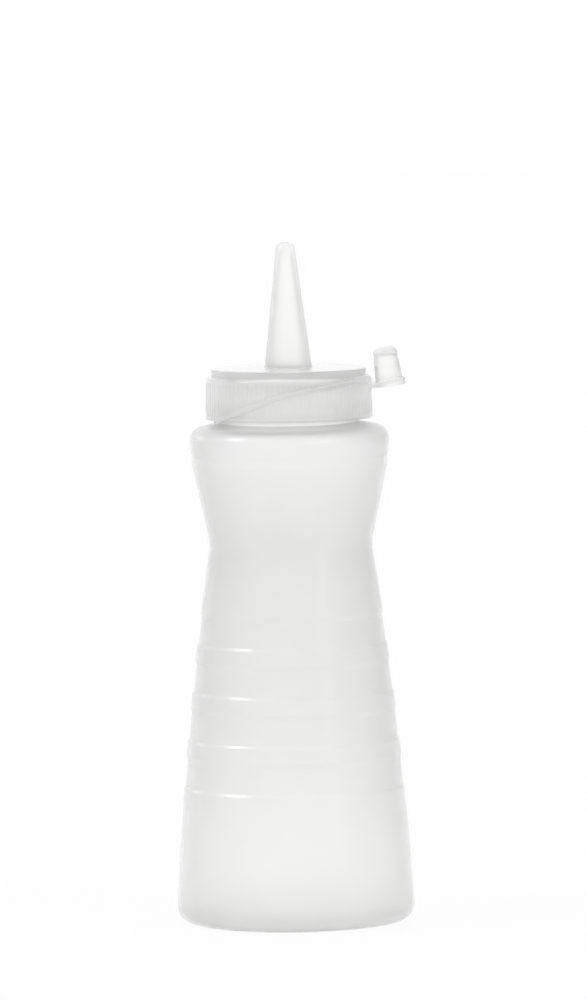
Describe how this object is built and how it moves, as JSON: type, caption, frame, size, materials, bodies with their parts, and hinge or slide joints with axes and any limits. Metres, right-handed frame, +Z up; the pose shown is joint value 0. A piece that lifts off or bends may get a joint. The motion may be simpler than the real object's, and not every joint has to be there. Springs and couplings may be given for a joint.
{
  "type": "squeeze bottle",
  "caption": "Soft waisted squeeze bottle with grip bands, a fluted screw cap with a conical nozzle, and a small tip cover on a loop strap.",
  "frame": {"origin": "on the axis of the bottle, at the level that the foot ring stands on", "axes": "+Z up along the axis of bottle and nozzle, +X towards the tip cover that hangs on its strap, -Y the side that the strap crosses in front"},
  "size_m": [0.072, 0.072, 0.2056],
  "materials": {
    "bottle_shell": "natural translucent soft polyethylene, satin, slightly uneven wall",
    "cap_moulding": "natural translucent polyethylene, satin, fine vertical flutes",
    "cover_moulding": "natural translucent soft polyethylene, smooth"
  },
  "bodies": {
    "root": {"bottle": "bottle_shell", "nozzle_cap": "cap_moulding", "tip_cover": "cover_moulding"}
  },
  "joints": []
}
